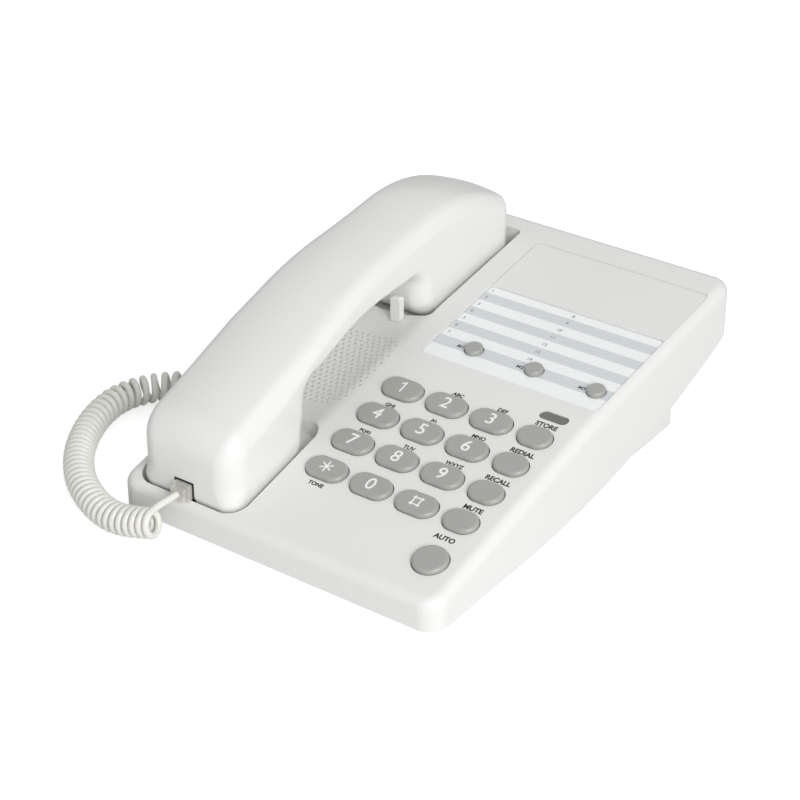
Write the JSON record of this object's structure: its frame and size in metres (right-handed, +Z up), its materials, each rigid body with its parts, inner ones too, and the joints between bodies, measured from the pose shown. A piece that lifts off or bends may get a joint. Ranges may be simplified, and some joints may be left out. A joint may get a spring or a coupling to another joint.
{
  "type": "corded landline phone",
  "caption": "White wedge-shaped corded desk telephone with keypad, index card, speaker grille and a lift-off handset on a curly cord.",
  "frame": {"origin": "middle of the base's footprint, on the table", "axes": "+X to the right of the keypad, +Y to the back, +Z up"},
  "size_m": [0.2047, 0.2373, 0.083],
  "materials": {
    "white_abs": "moulded, fine matt texture",
    "grey_key_plastic": "moulded, satin",
    "rubber": "moulded, matt",
    "zinc_steel": "zinc plated",
    "circuit_board": "solder-masked",
    "black_plastic": "moulded",
    "aluminium_can": "drawn",
    "ballast_iron": "rough",
    "printed_card": "printed card",
    "clear_sheet": "clear, polished",
    "smoke_window": "tinted, polished",
    "clear_plug": "clear moulding",
    "cord_vinyl": "extruded vinyl, satin"
  },
  "bodies": {
    "base": {"base_top_cover": "white_abs", "speaker_grille": "white_abs", "base_bottom_cover": "white_abs", "rear_stand": "white_abs", "rubber_feet": "rubber", "case_screws": "zinc_steel", "keypad_board": "circuit_board", "keypad_mat": "rubber", "memory_mat": "rubber", "line_board": "circuit_board", "ringer_speaker": "black_plastic", "index_card": "printed_card", "card_cover": "clear_sheet", "message_lamp_lens": "smoke_window", "message_lamp_led": "smoke_window", "hook_spring": "zinc_steel", "hook_switch": "black_plastic", "handset_jack": "black_plastic", "line_jack": "black_plastic", "cord_handset_tail": "cord_vinyl", "handset_cord_coil": "cord_vinyl", "cord_base_tail": "cord_vinyl", "base_plug": "clear_plug"},
    "handset": {"handset_outer_shell": "white_abs", "handset_inner_shell": "white_abs", "handset_socket": "black_plastic", "receiver_capsule": "black_plastic", "receiver_gasket": "rubber", "microphone": "aluminium_can", "microphone_boot": "rubber", "handset_weight": "ballast_iron", "handset_screws": "zinc_steel", "handset_plug": "clear_plug"},
    "hook": {"hook_plunger": "white_abs"},
    "key_1": {"key_1": "grey_key_plastic"},
    "key_2": {"key_2": "grey_key_plastic"},
    "key_3": {"key_3": "grey_key_plastic"},
    "key_4": {"key_4": "grey_key_plastic"},
    "key_5": {"key_5": "grey_key_plastic"},
    "key_6": {"key_6": "grey_key_plastic"},
    "key_7": {"key_7": "grey_key_plastic"},
    "key_8": {"key_8": "grey_key_plastic"},
    "key_9": {"key_9": "grey_key_plastic"},
    "key_star": {"key_star": "grey_key_plastic"},
    "key_0": {"key_0": "grey_key_plastic"},
    "key_hash": {"key_hash": "grey_key_plastic"},
    "key_store": {"key_store": "grey_key_plastic"},
    "key_redial": {"key_redial": "grey_key_plastic"},
    "key_recall": {"key_recall": "grey_key_plastic"},
    "key_mute": {"key_mute": "grey_key_plastic"},
    "key_auto": {"key_auto": "grey_key_plastic"},
    "key_memory_1": {"key_memory_1": "grey_key_plastic"},
    "key_memory_2": {"key_memory_2": "grey_key_plastic"},
    "key_memory_3": {"key_memory_3": "grey_key_plastic"}
  },
  "joints": [
    {"name": "handset_lift", "type": "slide", "parent": "base", "child": "handset", "axis": [0, 0, 1], "range_m": [0, 0.08]},
    {"name": "hook_rise", "type": "slide", "parent": "base", "child": "hook", "axis": [0, 0, 1], "range_m": [0, 0.003], "deforming": ["hook_spring"]},
    {"name": "key_1_press", "type": "slide", "parent": "base", "child": "key_1", "axis": [0, 0.2312, -0.9729], "range_m": [0, 0.0015], "stiffness_N_per_m": 600},
    {"name": "key_2_press", "type": "slide", "parent": "base", "child": "key_2", "axis": [0, 0.2312, -0.9729], "range_m": [0, 0.0015], "stiffness_N_per_m": 600},
    {"name": "key_3_press", "type": "slide", "parent": "base", "child": "key_3", "axis": [0, 0.2312, -0.9729], "range_m": [0, 0.0015], "stiffness_N_per_m": 600},
    {"name": "key_4_press", "type": "slide", "parent": "base", "child": "key_4", "axis": [0, 0.2312, -0.9729], "range_m": [0, 0.0015], "stiffness_N_per_m": 600},
    {"name": "key_5_press", "type": "slide", "parent": "base", "child": "key_5", "axis": [0, 0.2312, -0.9729], "range_m": [0, 0.0015], "stiffness_N_per_m": 600},
    {"name": "key_6_press", "type": "slide", "parent": "base", "child": "key_6", "axis": [0, 0.2312, -0.9729], "range_m": [0, 0.0015], "stiffness_N_per_m": 600},
    {"name": "key_7_press", "type": "slide", "parent": "base", "child": "key_7", "axis": [0, 0.2312, -0.9729], "range_m": [0, 0.0015], "stiffness_N_per_m": 600},
    {"name": "key_8_press", "type": "slide", "parent": "base", "child": "key_8", "axis": [0, 0.2312, -0.9729], "range_m": [0, 0.0015], "stiffness_N_per_m": 600},
    {"name": "key_9_press", "type": "slide", "parent": "base", "child": "key_9", "axis": [0, 0.2312, -0.9729], "range_m": [0, 0.0015], "stiffness_N_per_m": 600},
    {"name": "key_star_press", "type": "slide", "parent": "base", "child": "key_star", "axis": [0, 0.2312, -0.9729], "range_m": [0, 0.0015], "stiffness_N_per_m": 600},
    {"name": "key_0_press", "type": "slide", "parent": "base", "child": "key_0", "axis": [0, 0.2312, -0.9729], "range_m": [0, 0.0015], "stiffness_N_per_m": 600},
    {"name": "key_hash_press", "type": "slide", "parent": "base", "child": "key_hash", "axis": [0, 0.2312, -0.9729], "range_m": [0, 0.0015], "stiffness_N_per_m": 600},
    {"name": "key_store_press", "type": "slide", "parent": "base", "child": "key_store", "axis": [0, 0.2312, -0.9729], "range_m": [0, 0.0015], "stiffness_N_per_m": 600},
    {"name": "key_redial_press", "type": "slide", "parent": "base", "child": "key_redial", "axis": [0, 0.2312, -0.9729], "range_m": [0, 0.0015], "stiffness_N_per_m": 600},
    {"name": "key_recall_press", "type": "slide", "parent": "base", "child": "key_recall", "axis": [0, 0.2312, -0.9729], "range_m": [0, 0.0015], "stiffness_N_per_m": 600},
    {"name": "key_mute_press", "type": "slide", "parent": "base", "child": "key_mute", "axis": [0, 0.2312, -0.9729], "range_m": [0, 0.0015], "stiffness_N_per_m": 600},
    {"name": "key_auto_press", "type": "slide", "parent": "base", "child": "key_auto", "axis": [0, 0.2312, -0.9729], "range_m": [0, 0.0015], "stiffness_N_per_m": 600},
    {"name": "key_memory_1_press", "type": "slide", "parent": "base", "child": "key_memory_1", "axis": [0, 0.1564, -0.9877], "range_m": [0, 0.0009], "stiffness_N_per_m": 600},
    {"name": "key_memory_2_press", "type": "slide", "parent": "base", "child": "key_memory_2", "axis": [0, 0.1564, -0.9877], "range_m": [0, 0.0009], "stiffness_N_per_m": 600},
    {"name": "key_memory_3_press", "type": "slide", "parent": "base", "child": "key_memory_3", "axis": [0, 0.1564, -0.9877], "range_m": [0, 0.0009], "stiffness_N_per_m": 600}
  ],
  "couplings": [
    {"joint": "hook_rise", "follows": "handset_lift", "ratio": 0.0375}
  ]
}
